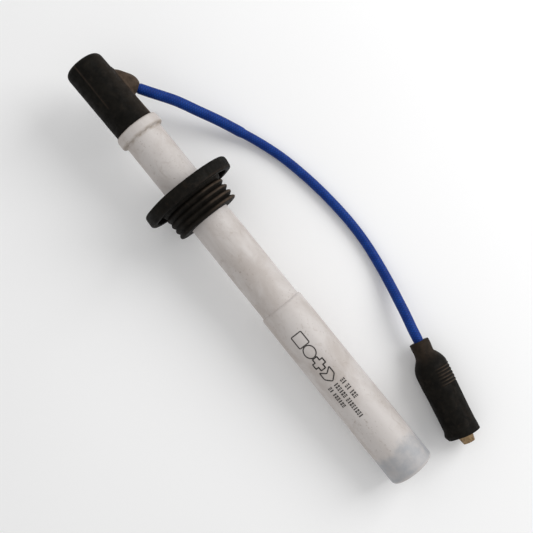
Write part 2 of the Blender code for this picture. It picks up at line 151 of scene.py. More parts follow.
class Surface:
    """A Principled material that is built up node by node."""

    def __init__(self, name, roughness=0.5, metallic=0.0):
        self.material = bpy.data.materials.new(name)
        self.material.use_nodes = True
        self.tree = self.material.node_tree
        self.shader = self.tree.nodes["Principled BSDF"]
        self.shader.inputs["Roughness"].default_value = roughness
        self.shader.inputs["Metallic"].default_value = metallic
        self.place = self.add("ShaderNodeTexCoord").outputs["Object"]

    def add(self, kind, **values):
        """A node whose inputs and settings are given by name: sockets are linked, the rest is set."""
        node = self.tree.nodes.new(kind)
        for name, value in values.items():
            sockets = [s for s in node.inputs if s.name == name.replace("_", " ") and s.enabled]
            if not sockets:
                setattr(node, name, value)
            elif isinstance(value, bpy.types.NodeSocket):
                self.tree.links.new(value, sockets[0])
            else:
                sockets[0].default_value = value
        return node

    def stretched(self, scale, offset=(0, 0, 0)):
        mapping = self.add("ShaderNodeMapping", Vector=self.place, Scale=scale, Location=offset)
        return mapping.outputs["Vector"]

    def noise(self, scale, detail=4.0, roughness=0.55, distortion=0.0, place=None):
        node = self.add(
            "ShaderNodeTexNoise",
            Vector=place or self.place,
            Scale=scale,
            Detail=detail,
            Roughness=roughness,
            Distortion=distortion,
        )
        return node.outputs["Fac"]

    def between(self, value, low, high, to_low=0.0, to_high=1.0):
        """Value taken from low..high to to_low..to_high, held at the ends and smooth between."""
        node = self.add("ShaderNodeMapRange", interpolation_type="SMOOTHSTEP", Value=value)
        node.inputs["From Min"].default_value = low
        node.inputs["From Max"].default_value = high
        node.inputs["To Min"].default_value = to_low
        node.inputs["To Max"].default_value = to_high
        return node.outputs["Result"]

    def maths(self, operation, first, second=None):
        node = self.add("ShaderNodeMath", operation=operation)
        for socket, value in zip(node.inputs, (first, second)):
            if isinstance(value, bpy.types.NodeSocket):
                self.tree.links.new(value, socket)
            elif value is not None:
                socket.default_value = value
        return node.outputs[0]

    def mix(self, factor, first, second):
        """The first colour, or the second where factor is 1."""
        node = self.add("ShaderNodeMix", data_type="RGBA")
        sockets = [s for s in node.inputs if s.enabled]
        for socket, value in zip(sockets, (factor, first, second)):
            if isinstance(value, bpy.types.NodeSocket):
                self.tree.links.new(value, socket)
            elif isinstance(value, tuple):
                socket.default_value = (*value, 1)
            else:
                socket.default_value = value
        return next(s for s in node.outputs if s.enabled)

    def axis(self, name):
        return self.add("ShaderNodeSeparateXYZ", Vector=self.place).outputs[name]

    def station(self):
        return self.maths("MULTIPLY", self.axis("Z"), -1000.0)

    def crests(self, first, step):
        """A wave that is 1 at the first station and at every step from it."""
        turns = self.maths("MULTIPLY", self.maths("SUBTRACT", self.station(), first), math.tau / step)
        return self.maths("COSINE", turns)

    def colour(self, value):
        self.tree.links.new(value, self.shader.inputs["Base Color"])

    def rough(self, value):
        self.tree.links.new(value, self.shader.inputs["Roughness"])

    def bump(self, *layers):
        """Bumps of (height, depth in metres), one on top of the other."""
        normal = None
        for height, depth in layers:
            node = self.add("ShaderNodeBump", Height=height, Distance=depth, Strength=1.0)
            if normal:
                self.tree.links.new(normal, node.inputs["Normal"])
            normal = node.outputs["Normal"]
        self.tree.links.new(normal, self.shader.inputs["Normal"])


def insulator_surface(name, blue_from=None):
    """Soiled white insulator. From blue_from on, in stations, bluish grey is painted in for light that
    shines through the thin wall.
    """
    s = Surface(name)
    station = s.station()
    cloud = s.between(s.noise(42, 6, 0.62, 0.5, s.stretched((1, 1, 0.6))), 0.38, 0.66)
    stain = s.between(s.noise(120, 7, 0.72, 1.2, s.stretched((1, 1, 0.7), (3, 1, 2))), 0.53, 0.72)
    colour = s.mix(s.maths("MULTIPLY", cloud, 0.62), (0.545, 0.510, 0.490), (0.40, 0.352, 0.32))
    colour = s.mix(s.maths("MULTIPLY", stain, 0.36), colour, (0.30, 0.245, 0.20))
    speck_area = s.between(s.noise(60, 3, 0.6, 0.0, s.stretched((1, 1, 1), (9, 4, 7))), 0.42, 0.6)
    speck = s.between(s.noise(650, 2, 0.5), 0.64, 0.70)
    speck = s.maths("MULTIPLY", s.maths("MULTIPLY", speck, speck_area), 0.35)
    colour = s.mix(speck, colour, (0.20, 0.15, 0.11))
    scratch = s.between(s.noise(1.0, 3, 0.6, 0.2, s.stretched((900, 900, 70))), 0.64, 0.74)
    colour = s.mix(s.maths("MULTIPLY", scratch, 0.2), colour, (0.27, 0.23, 0.2))
    foot = s.between(s.maths("ABSOLUTE", s.maths("SUBTRACT", station, COLLAR_FOOT + 1.9)), 2.6, 0.2)
    lip = s.between(s.maths("ABSOLUTE", s.maths("SUBTRACT", station, COLLAR_TOP)), 1.5, 0.2, 0.0, 0.8)
    edges = s.maths("MAXIMUM", foot, lip)
    grime = s.maths("MULTIPLY", edges, s.between(s.noise(170, 5, 0.65), 0.35, 0.6, 0.12, 0.7))
    colour = s.mix(grime, colour, (0.25, 0.195, 0.14))
    if blue_from:
        # painted light: bluish grey stands in for light shining through the thin wall towards the open
        # end
        ragged = s.maths("ADD", station, s.maths("MULTIPLY", s.noise(95, 5, 0.65), 16.0))
        thin = s.between(ragged, blue_from + 4.0, blue_from + 13.0)
        rim = s.between(station, SLEEVE_END - 3.5, SLEEVE_END - 0.5, 1.0, 0.25)
        patch = s.between(s.noise(75, 5, 0.6), 0.35, 0.65, 0.5, 1.0)
        thin = s.maths("MULTIPLY", s.maths("MULTIPLY", thin, rim), patch)
        colour = s.mix(thin, colour, (0.345, 0.352, 0.368))
    s.colour(colour)
    s.rough(s.between(cloud, 0, 1, 0.46, 0.62))
    rings = s.noise(1.0, 2, 0.5, 0.0, s.stretched((30, 30, 2600)))
    s.bump((rings, 0.00002), (scratch, -0.00003), (s.noise(450, 4), 0.00005))
    s.shader.inputs["Specular IOR Level"].default_value = 0.35
    return s.material


def rubber_surface(name, dust_and_highlight=None, dust=0.25):
    """Black moulded rubber with brown dust. The given mask function of the surface says where the brown
    lies thick, from 0 to 1, as dust or as a painted highlight.
    """
    s = Surface(name, 0.62)
    tone = s.between(s.noise(130, 5, 0.6, 0.6), 0.35, 0.7)
    colour = s.mix(tone, (0.0030, 0.0026, 0.0019), (0.0068, 0.0058, 0.0043))
    film = s.between(s.noise(210, 6, 0.68, 0.8), 0.48, 0.75)
    colour = s.mix(s.maths("MULTIPLY", film, dust), colour, (0.034, 0.024, 0.017))
    if dust_and_highlight:
        # this brown is dust, and where the mask marks lit crests or the ridge it is a painted highlight
        patches = s.between(s.noise(260, 5, 0.65), 0.25, 0.65, 0.45, 1.0)
        cover = s.maths("MULTIPLY", dust_and_highlight(s), patches)
        colour = s.mix(cover, colour, (0.075, 0.052, 0.036))
    s.colour(colour)
    s.rough(s.between(s.noise(300, 3), 0.3, 0.7, 0.58, 0.78))
    s.bump((s.noise(520, 4, 0.6), 0.0001), (s.noise(2600, 2, 0.6), 0.00003))
    s.shader.inputs["Specular IOR Level"].default_value = 0.09
    return s.material


def boot_dust_and_highlight(s):
    """Dust, thick on the outlet and thin on the side above it, and a painted highlight along the
    parting ridge.
    """
    outlet = s.between(s.axis("Y"), 0.0125, 0.0142, 0.0, 0.85)
    side = s.between(s.axis("Y"), 0.004, 0.014, 0.0, 0.18)
    # a thin painted highlight line along the parting ridge, laid on as brown
    across = s.maths("ADD", s.axis("Y"), 0.0066)
    ridge = s.between(s.maths("ABSOLUTE", across), 0.0008, 0.0002, 0.0, 0.24)
    ridge = s.maths("MULTIPLY", ridge, s.between(s.axis("X"), 0.008, 0.011))
    ridge = s.maths("MULTIPLY", ridge, s.between(s.axis("Z"), -0.041, -0.038))
    return s.maths("MAXIMUM", s.maths("MAXIMUM", outlet, side), ridge)


def seal_dust_and_highlight(s):
    """On the crests of the ribs, most on the side of the lead, where the key light falls: partly dust,
    partly a painted highlight.
    """
    first, step = 125.0, 4.7
    below = s.between(s.axis("Z"), -0.1195, -0.1235)
    crest = s.between(s.crests(first, step), 0.0, 0.95, 0.05, 1.0)
    # more brown towards the lead's side, where the key light falls: a painted highlight
    side = s.between(s.axis("Y"), 0.0, 0.020, 0.06, 0.8)
    return s.maths("MULTIPLY", s.maths("MULTIPLY", crest, side), below)


def connector_dust(s):
    """On the neck, and on the grip ribs on the side away from the tube."""
    neck = s.between(s.axis("Z"), -0.017, -0.008, 0.0, 0.3)
    ribs = s.between(s.crests(GRIP_RIB_FIRST, GRIP_RIB_STEP), -0.2, 0.9)
    ribs = s.maths("MULTIPLY", ribs, s.between(s.axis("Y"), -0.001, 0.008, 0.0, 0.6))
    ribs = s.maths("MULTIPLY", ribs, s.between(s.axis("Z"), -0.0365, -0.034))
    ribs = s.maths("MULTIPLY", ribs, s.between(s.axis("Z"), -0.0195, -0.0225))
    return s.maths("MAXIMUM", neck, ribs)


def metal_surface(name, colour, dark, roughness):
    s = Surface(name, roughness, 1.0)
    tarnish = s.between(s.noise(420, 6, 0.65, 0.5), 0.4, 0.72)
    s.colour(s.mix(s.maths("MULTIPLY", tarnish, 0.75), colour, dark))
    s.rough(s.between(tarnish, 0, 1, roughness, roughness + 0.22))
    s.bump((s.noise(1900, 3), 0.00003))
    return s.material


def lead_surface():
    """Blue silicone with the fine weave of its braid showing through."""
    s = Surface("lead_blue_silicone", 0.42)
    s.shader.inputs["Specular IOR Level"].default_value = 0.12
    uv = s.add("ShaderNodeUVMap", uv_map="lay").outputs["UV"]
    strands = []
    for way in (1, -1):
        mapping = s.add("ShaderNodeMapping", Vector=uv, Rotation=(0, 0, way * math.radians(35)))
        wave = s.add("ShaderNodeTexWave", Vector=mapping.outputs["Vector"], Scale=205.0, Distortion=0.8)
        strands.append(wave.outputs["Fac"])
    weave = s.maths("MAXIMUM", *strands)
    tone = s.between(s.noise(160, 4, 0.6), 0.35, 0.7)
    colour = s.mix(tone, (0.0032, 0.031, 0.205), (0.0062, 0.049, 0.275))
    gaps = s.maths("MULTIPLY", s.between(weave, 0.45, 1.0), 0.58)
    colour = s.mix(gaps, colour, (0.0028, 0.012, 0.07))
    dirt = s.between(s.noise(230, 6, 0.7, 0.6), 0.58, 0.78)
    s.colour(s.mix(s.maths("MULTIPLY", dirt, 0.35), colour, (0.02, 0.026, 0.05)))
    s.rough(s.between(s.noise(400, 3), 0.3, 0.7, 0.36, 0.5))
    s.bump((weave, -0.00012), (s.noise(700, 3), 0.00004))
    return s.material


def ink_surface():
    s = Surface("grey_ink", 0.6)
    worn = s.between(s.noise(900, 4, 0.7), 0.5, 0.72)
    s.colour(s.mix(s.maths("MULTIPLY", worn, 0.55), (0.03, 0.026, 0.024), (0.2, 0.18, 0.165)))
    s.bump((s.noise(1500, 2), 0.00001))
    return s.material


# ---------------------------------------------------------------- meshes


def arc(radius, station, edge, start, end, steps=8):
    """Points of an edge's arc about (radius, station): 0 degrees is outwards, 90 is up."""
    turns = [math.radians(start + (end - start) * i / steps) for i in range(steps + 1)]
    return [(radius + edge * math.cos(a), station - edge * math.sin(a)) for a in turns]


def refined(outline, step):
    """The outline with more points, so that none of its stretches is longer than step."""
    found = []
    closed = outline[0][0] > 0
    following = [*outline[1:], outline[0]] if closed else outline[1:]
    for (r0, s0), (r1, s1) in zip(outline, following):
        parts = max(1, math.ceil(math.hypot(r1 - r0, s1 - s0) / step))
        found += [(r0 + (r1 - r0) * i / parts, s0 + (s1 - s0) * i / parts) for i in range(parts)]
    return found if closed else [*found, outline[-1]]


def to_mesh(bm, name):
    """The bmesh as a mesh of that name."""
    mesh = bpy.data.meshes.new(name)
    bm.to_mesh(mesh)
    bm.free()
    return mesh


def linked(name, data):
    """A new object in the scene."""
    obj = bpy.data.objects.new(name, data)
    bpy.context.scene.collection.objects.link(obj)
    return obj


def lathe(name, outline, turns=128, shape=None):
    """A mesh spun from (radius, station) points that run down its outer side, in metres.

    shape(radius, station, angle) moves a point of it, and returns it as (x, y, station) in millimetres.
    """
    bm = bmesh.new()
    rows = []
    for r, s in outline:
        row = []
        for i in range(turns if r > 1e-6 else 1):
            angle = math.tau * i / turns
            x, y, z = r * math.cos(angle), r * math.sin(angle), s
            if shape:
                x, y, z = shape(r, s, angle)
            row.append(bm.verts.new((x * MM, y * MM, -z * MM)))
        rows.append(row)
    if outline[0][0] > 1e-6:
        rows.append(rows[0])
    for upper, lower in zip(rows, rows[1:]):
        for i in range(turns):
            j = (i + 1) % turns
            around = ((upper, i), (upper, j), (lower, j), (lower, i))
            corners = list(dict.fromkeys(row[k % len(row)] for row, k in around))
            if len(corners) > 2:
                bm.faces.new(corners)
    bmesh.ops.recalc_face_normals(bm, faces=bm.faces)
    return to_mesh(bm, name)


def piece(name, mesh, place, body, material, nodes=(), sharp=35.0):
    """A finished piece: smooth, in its frame, riding on its body in place of the CAD nodes."""
    mesh.shade_smooth()
    mesh.set_sharp_from_angle(angle=math.radians(sharp))
    obj = linked(name, mesh)
    obj.matrix_world = place
    obj.data.materials.clear()
    obj.data.materials.append(material)
    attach(obj, body)
    if nodes:
        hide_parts(*nodes)
    return obj


def applied(mesh, *modifiers):
    """The mesh as it is after modifiers, each a (kind, settings)."""
    obj = linked("working", mesh)
    for kind, settings in modifiers:
        modifier = obj.modifiers.new(kind.lower(), kind)
        for name, value in settings.items():
            setattr(modifier, name, value)
    graph = bpy.context.evaluated_depsgraph_get()
    result = bpy.data.meshes.new_from_object(obj.evaluated_get(graph), depsgraph=graph)
    bpy.data.objects.remove(obj, do_unlink=True)
    return result


def smooth_step(value, low, high):
    t = min(max((value - low) / (high - low), 0.0), 1.0)
    return t * t * (3 - 2 * t)


def wobble(point, size, depth):
    """Smooth noise of about that depth, with features of about that size."""
    return noise.noise(Vector(point) / size) * depth


def uneven(depth, seed):
    """A shape for lathe that makes the outside of a tube slightly uneven."""
    outside = UPPER_R - 0.25

    def shape(r, s, angle):
        if r > outside:
            r += wobble((math.cos(angle) * 9, math.sin(angle) * 9, s * 0.3 + seed), 6.0, depth)
        return r * math.cos(angle), r * math.sin(angle), s

    return shape


# ---------------------------------------------------------------- the white tube


def make_upper_tube(material):
    collar_mouth_r, collar_floor, chamber_r, chamber_foot, core_r = 15.55, 62.8, 10.0, 104.0, 3.3
    edge_across, edge_along = 1.5, 2.7
    edge = [math.radians(90 - 90 * i / 8) for i in range(9)]
    collar = [
        (
            COLLAR_R - edge_across + edge_across * math.cos(a),
            COLLAR_TOP + edge_along - edge_along * math.sin(a),
        )
        for a in edge
    ]
    outline = [
        *collar,
        (COLLAR_R + 0.05, COLLAR_FOOT - 0.4),
        *arc(COLLAR_R - 1.5, COLLAR_FOOT, 1.55, 0, -62, 6),
        (UPPER_R + 0.2, COLLAR_FOOT + 2.0),
        (UPPER_R, COLLAR_FOOT + 2.3),
        (UPPER_R, TUBE_STEP),
        (MIDDLE_R, TUBE_STEP + MIDDLE_R - UPPER_R),
        (MIDDLE_R, SLEEVE_TOP + 0.8),
        (12.5, SLEEVE_TOP + 0.8),
        (12.5, TUBE_END - 0.5),
        (12.0, TUBE_END),
        (core_r, TUBE_END),
        (core_r, chamber_foot),
        (chamber_r, chamber_foot),
        (chamber_r, collar_floor),
        (collar_mouth_r, collar_floor),
        (collar_mouth_r, COLLAR_TOP + 0.3),
    ]
    mesh = lathe("insulating_tube", refined(outline, 4.0), 144, uneven(0.06, 3.0))
    piece("insulating_tube", mesh, PROBE, "probe", material, ["upper_tube"])


def sleeve_radius(station):
    share = (station - SLEEVE_TOP) / (SLEEVE_END - SLEEVE_TOP)
    return SLEEVE_TOP_R + (SLEEVE_END_R - SLEEVE_TOP_R) * min(max(share, 0), 1)


def make_sleeve(material):
    end_edge, mouth_r, mouth_floor, spring_r, spring_floor, seat_r = 3.2, 12.5, 312.0, 7.6, 297.7, 9.5
    outline = [
        (MIDDLE_R - 0.15, SLEEVE_TOP - 0.3),
        (MIDDLE_R + 0.15, SLEEVE_TOP + 0.1),
        (MIDDLE_R + 0.6, SLEEVE_TOP + 0.4),
        (SLEEVE_TOP_R - 0.35, SLEEVE_TOP + 0.85),
        (SLEEVE_TOP_R - 0.08, SLEEVE_TOP + 1.5),
        (SLEEVE_TOP_R, SLEEVE_TOP + 2.4),
        (SLEEVE_TOP_R + 0.03, SLEEVE_TOP + 8.0),
        *arc(SLEEVE_END_R - end_edge, SLEEVE_END - end_edge, end_edge, 0, -90),
        (13.1, SLEEVE_END),
        *arc(13.1, SLEEVE_END - 0.6, 0.6, -90, -180, 4),
        (mouth_r, mouth_floor),
        (spring_r, mouth_floor),
        (spring_r, spring_floor),
        (seat_r, spring_floor),
        (seat_r, TUBE_END + 0.3),
        (12.8, TUBE_END + 0.3),
        (12.8, SLEEVE_TOP + 1.1),
    ]
    mesh = lathe("sleeve", refined(outline, 4.0), 144, uneven(0.07, 40.0))
    piece("sleeve_shell", mesh, PROBE, "probe", material, ["socket_sleeve"])


# ---------------------------------------------------------------- the print on the sleeve


def ribbon(bm, points, width, closed):
    """A printed line on the sleeve through (station, offset round the sleeve) points in millimetres."""
    stands_out = 0.11
    sides = []
    count = len(points)
    for i, (s, o) in enumerate(points):
        before = points[(i - 1) % count] if closed or i else points[0]
        after = points[(i + 1) % count] if closed or i < count - 1 else points[-1]
        ds, do = after[0] - before[0], after[1] - before[1]
        size = math.hypot(ds, do)
        pair = []
        for side in (-0.5, 0.5):
            station, offset = s - side * width * do / size, o + side * width * ds / size
            r = sleeve_radius(station) + stands_out
            angle = offset / r
            place = (r * math.cos(angle), r * math.sin(angle), -station)
            pair.append(bm.verts.new([value * MM for value in place]))
        sides.append(pair)
    following = [*sides[1:], sides[0]] if closed else sides[1:]
    for a, b in zip(sides, following):
        bm.faces.new((a[0], b[0], b[1], a[1]))


def fine(corners, parts=4):
    """The closed outline with its sides split into parts."""
    found = []
    for (s0, o0), (s1, o1) in zip(corners, [*corners[1:], corners[0]]):
        found += [(s0 + (s1 - s0) * i / parts, o0 + (o1 - o0) * i / parts) for i in range(parts)]
    return found


def rounded_outline(corners, edge, steps=4):
    """A closed outline with its corners rounded off over a length of edge."""
    found = []
    for i, corner in enumerate(corners):
        before, after = Vector(corners[i - 1]), Vector(corners[(i + 1) % len(corners)])
        corner = Vector(corner)
        start = corner + (before - corner).normalized() * edge
        end = corner + (after - corner).normalized() * edge
        for step in range(steps + 1):
            t = step / steps
            found.append(tuple(start * (1 - t) ** 2 + corner * 2 * t * (1 - t) + end * t * t))
    return found


def print_shapes(bm):
    """A square, a circle, a cross and an arrow, each drawn as a line round its outline."""
    middle, wide, long, line = -4.3, 4.3, 4.85, 0.85  # wide and long are half sizes
    first, pitch, corner = 245.6, 10.3, 0.9
    square = [(-long, -wide), (long, -wide), (long, wide), (-long, wide)]
    turns = [math.tau * i / 32 for i in range(32)]
    circle = [(long * math.cos(a), wide * math.sin(a)) for a in turns]
    arm = 1.9
    quarter = [(-long, -arm), (-arm, -arm), (-arm, -wide)]
    cross = quarter + [(-s, o) for s, o in reversed(quarter)]
    cross += [(-s, -o) for s, o in cross]
    neck, notch = 1.0, -1.6
    arrow = [(-long, -wide), (neck, -wide), (long, 0), (neck, wide), (-long, wide), (notch, 0)]
    for i, shape in enumerate((square, circle, cross, arrow)):
        if shape is not circle:
            shape = rounded_outline(fine(shape), corner)
        ribbon(bm, [(first + i * pitch + s, middle + o) for s, o in shape], line, True)


def print_marks(bm):
    """Three rows of marks, each of one, two or three strips one above the other."""
    rows = ((1.5, 1.75, (2, 2, 3)), (-4.2, 1.65, (6, 8)), (-9.8, 1.6, (2, 6)))
    first, pitch, gap = 284.6, 2.0, 1.2
    kinds = (
        ((-1.0, 1.0, 0.95),),
        ((-1.0, -0.15, 1.45), (0.15, 1.0, 1.45)),
        ((-1.0, -0.5, 1.45), (-0.2, 0.2, 1.45), (0.5, 1.0, 1.45)),
    )
    for offset, half_tall, groups in rows:
        station = first
        for group in groups:
            for i in range(group):
                for low, high, wide in kinds[(i + group) % len(kinds)]:
                    strip = [(station, offset + half_tall * end) for end in (low, high)]
                    ribbon(bm, strip, wide, False)
                station += pitch
            station += gap


def make_print(material):
    """A row of plain outlined shapes, then three rows of small marks."""
    bm = bmesh.new()
    print_shapes(bm)
    print_marks(bm)
    mesh = applied(to_mesh(bm, "print"), ("SOLIDIFY", {"thickness": 0.00012, "offset": -1.0}))
    piece("sleeve_print", mesh, PROBE, "probe", material)


# ---------------------------------------------------------------- the flange seal


def make_flange_seal(material):
    first, pitch, tip, steps = 125.4, 4.6, 23.9, 10
    ribs = []
    for i in range(4):
        for step in range(steps if i < 3 else 6):
            t = step / steps
            rise = max(0.0, math.sin(math.pi * t**0.85)) ** 1.2
            ribs.append((RIB_VALLEY_R + (tip - RIB_VALLEY_R) * rise, first + (i - 0.5 + t) * pitch))
    outline = [
        (14.75, FLANGE_TOP + 0.2),
        (14.95, FLANGE_TOP),
        (FLANGE_R - 3.0, FLANGE_TOP + 0.05),
        *arc(FLANGE_R - 2.3, FLANGE_TOP + 2.3, 2.2, 90, 0),
        (FLANGE_R + 0.05, FLANGE_TOP + 4.0),
        (FLANGE_R - 0.1, FLANGE_FOOT - 1.7),
        *arc(FLANGE_R - 1.7, FLANGE_FOOT - 1.5, 1.5, 0, -90),
        (30.9, FLANGE_FOOT),
        *arc(30.9, FLANGE_FOOT - 0.7, 0.7, -90, -180, 4),
        (30.2, 118.4),
        *[(29.3 + 0.9 * math.cos(a), 118.4 - 0.9 * math.sin(a)) for a in (0.4, 0.8, 1.2, 1.57)],
        (25.6, 117.5),
        (24.9, 117.8),
        (24.5, 118.6),
        (24.3, 120.2),
        (23.4, 122.6),
        *ribs,
        (23.75, 139.5),
        (23.35, 140.0),
        (22.5, 140.4),
        (15.5, 140.45),
        (15.5, 126.2),
        (14.75, 125.4),
    ]

    def shape(r, s, angle):
        side = math.sin(angle)
        if 21 < r < 24.6 and s > 119:
            depth = max(0.0, tip - r) / (tip - RIB_VALLEY_R)
            r -= depth * (0.35 + 0.75 * side)
            r += 0.7 * (1 - smooth_step(side, -0.9, 0.6))
        if r > 16:
            r += wobble((math.cos(angle) * 14, math.sin(angle) * 14, s), 7.0, 0.25)
            rim = smooth_step(r, 20, 35)
            s += wobble((math.cos(angle) * 20, math.sin(angle) * 20, 5), 12.0, 0.3) * rim
        sag = 0.6 * smooth_step(s, 115, 121) * smooth_step(r, 26, 31)
        return r * math.cos(angle), r * side - sag, s

    mesh = lathe("seal", refined(outline, 1.6), 168, shape)
    piece("seal_rubber", mesh, PROBE, "seal", material, ["flange_seal"], 50)


# ---------------------------------------------------------------- the elbow boot


def boot_radius(station):
    first, last = 4.4, 58.0
    share = min(max((station - first) / (last - first), 0), 1)
    return BOOT_TOP_R + (BOOT_FOOT_R - BOOT_TOP_R) * share


def boot_lean(station):
    """How far the boot's middle stands to the side that faces away from the lead."""
    return 1.95 - 0.0262 * max(min(station, BOOT_FOOT), 0.0)


def boot_blank():
    """The boot's body and its domed outlet, one through the other."""
    foot_edge = 0.9
    outline = [
        (0, 0),
        *arc(BOOT_TOP_R - BOOT_EDGE, BOOT_EDGE, BOOT_EDGE, 90, 0, 10),
        (BOOT_FOOT_R, 58.0),
        (BOOT_FOOT_R, BOOT_FOOT - foot_edge),
        *arc(BOOT_FOOT_R - foot_edge, BOOT_FOOT - foot_edge, foot_edge, 0, -90, 4),
        (0, BOOT_FOOT),
    ]
    body = lathe("boot_body", refined(outline, 1.5), 128)
    inside, last_turn, steps = -27, math.radians(66), 14
    nose = [(0, inside), (OUTLET_R, inside)]
    for step in range(steps + 1):
        a = last_turn * step / steps
        nose.append((OUTLET_R * math.cos(a), OUTLET_DOME * (math.sin(a) - 1)))
    nose.append((0, nose[-1][1]))
    outlet = lathe("boot_nose", nose, 64)
    outlet.transform(OUTLET)
    bm = bmesh.new()
    bm.from_mesh(body)
    bm.from_mesh(outlet)
    return to_mesh(bm, "boot")


def shape_boot(skin):
    """Trues the round body, raises the parting ridge and leans the boot, all but its outlet."""
    to_outlet = OUTLET.inverted()
    ridge_angle, ridge_half, ridge_high, ridge_r = math.radians(-20.0), 0.42, 0.34, 14.5
    for vertex in skin.vertices:
        x, y, s = vertex.co.x / MM, vertex.co.y / MM, -vertex.co.z / MM
        r, angle = math.hypot(x, y), math.atan2(y, x)
        near = to_outlet @ vertex.co
        clear = smooth_step(math.hypot(near.x, near.y) / MM - OUTLET_R, 0.2, 2.0)
        if BOOT_EDGE + 0.5 < s < BOOT_FOOT - 1.5 and r > 9:
            r += (boot_radius(s) - r) * clear
        ridge = math.exp(-(((angle - ridge_angle) * ridge_r / ridge_half) ** 2))
        along = smooth_step(s, 1.0, 3.0) * (1 - smooth_step(s, 39.5, 41.0))
        r += ridge_high * ridge * along if r > 8 else 0
        free = smooth_step(y, 12.5, 16.5) * (1 - clear)
        x, y = r * math.cos(angle), r * math.sin(angle) - boot_lean(s) * (1 - free)
        vertex.co = (x * MM, y * MM, vertex.co.z)


def make_elbow_boot(material):
    """The boot and its domed outlet as one skin, with the hole for the lead."""
    voxel = 0.0005
    bore = 3.95
    skin = applied(
        boot_blank(),
        ("REMESH", {"mode": "VOXEL", "voxel_size": voxel, "use_smooth_shade": True}),
        ("SMOOTH", {"factor": 0.5, "iterations": 8}),
    )
    shape_boot(skin)
    hole = lathe("hole", [(0, -9), (bore, -9), (bore, 3), (0, 3)], 48)
    hole.transform(OUTLET)
    cutter = linked("hole", hole)
    cut = ("BOOLEAN", {"operation": "DIFFERENCE", "object": cutter, "solver": "EXACT"})
    skin = applied(skin, cut)
    bpy.data.objects.remove(cutter, do_unlink=True)
    piece("boot_skin", skin, PROBE, "probe", material, ["elbow_boot"], 60)


# ---------------------------------------------------------------- the connector


def make_connector_rubber(material):
    outline = [
        (3.85, 0.35),
        (4.2, 0.0),
        *arc(6.5, 0.7, 0.7, 90, 0, 6),
        (7.25, 4.0),
        (7.1, 7.5),
        (7.15, 9.2),
        (7.45, 10.6),
        (8.75, 12.3),
        (10.2, 14.5),
        (11.3, 16.6),
        (12.1, 18.9),
        (12.4, 21.0),
        (12.5, 23.5),
        (12.5, 33.0),
        (12.2, 37.0),
        (12.1, 44.0),
        (11.95, 56.0),
        (12.0, LIP_END - 8.0),
        (12.25, LIP_END - 4.0),
        (12.3, LIP_END - 0.8),
        (12.2, LIP_END - 0.2),
        (11.9, LIP_END),
        (6.9, LIP_END),
        (6.35, LIP_END - 0.5),
        (6.2, 15.5),
        (3.85, 13.0),
    ]

    def shape(r, s, angle):
        side = math.sin(angle)
        shoulder = smooth_step(s, 8, 12) * (1 - smooth_step(s, 24, 36))
        outer = smooth_step(r, 6.3, 6.8)
        facing = smooth_step(math.cos(angle - math.radians(60)), 0.05, 0.7)
        window = smooth_step(s, 20.5, 22.0) * (1 - smooth_step(s, 35.0, 36.5))
        crest = math.cos(math.tau * (s - GRIP_RIB_FIRST) / GRIP_RIB_STEP)
        r += outer * facing * window * (0.32 * crest - 0.12)
        lip = smooth_step(s, LIP_END - 8, LIP_END - 3) * (1 - smooth_step(side, -0.5, 0.8))
        r += outer * lip
        round_off = smooth_step(s, LIP_END - 4.5, LIP_END) * smooth_step(-side, -0.3, 0.7)
        r -= outer * round_off * 1.6
        s -= outer * (shoulder * side + round_off * smooth_step(s, LIP_END - 2.5, LIP_END) * 0.4)
        neck = 1 - smooth_step(s, 5, 13)
        return r * math.cos(angle), r * side + 0.4 * neck, s

    mesh = lathe("connector", refined(outline, 0.8), 144, shape)
    nodes = ["connector_boot"]
    return piece("connector_rubber", mesh, CONNECTOR, "lead_boot", material, nodes, 50)


def make_contact_nose(material):
    tip = CONNECTOR_LENGTH + NOSE_LENGTH
    nose = [
        (0, 35.0),
        (1.4, 35.0),
        (1.4, 30.0),
        (3.8, 30.0),
        (3.8, 18.0),
        (4.6, 18.0),
        (4.6, 29.0),
        (5.5, 32.0),
        (5.5, 58.3),
        (4.5, 58.3),
        (4.5, 60.1),
        (5.5, 60.1),
        (5.5, LIP_END + 0.2),
        *arc(5.2, LIP_END + 0.6, 0.4, 20, -15, 3),
        (4.35, tip - 0.5),
        *arc(4.0, tip - 0.4, 0.35, -15, -165, 6),
        (2.9, tip - 1.4),
        (2.3, tip - 2.6),
        (0, tip - 3.0),
    ]

    def bent(r, s, angle):
        bend = 0.55 * smooth_step(s, 45, LIP_END) + 0.09 * max(s - LIP_END, 0.0)
        return r * math.cos(angle), r * math.sin(angle) + bend, s

    mesh = lathe("nose", refined(nose, 1.5), 72, bent)
    nodes = ["connector_terminal"]
    return piece("contact_nose", mesh, CONNECTOR, "probe", material, nodes, 40)


# ---------------------------------------------------------------- the lead


def smooth_path(points, per_span):
    """Points of a smooth curve through the given ones, with per_span steps between each two."""
    ends = [2 * points[0] - points[1], *points, 2 * points[-1] - points[-2]]
    found = []
    for i in range(1, len(ends) - 2):
        before, start, end, after = ends[i - 1 : i + 3]
        for step in range(per_span):
            t = step / per_span
            found.append(
                0.5
                * (
                    2 * start
                    + (end - before) * t
                    + (2 * before - 5 * start + 4 * end - after) * t * t
                    + (3 * start - before - 3 * end + after) * t**3
                )
            )
    return [*found, points[-1]]


def lead_radius(along):
    """A little more over the first third, which ends in a small step, and again at the connector."""
    thick, less, swell = 3.9, 0.5, 0.28
    less *= smooth_step(along, 0.0993, 0.1008)
    return (thick - less + swell * smooth_step(along, 0.20, 0.29)) * MM


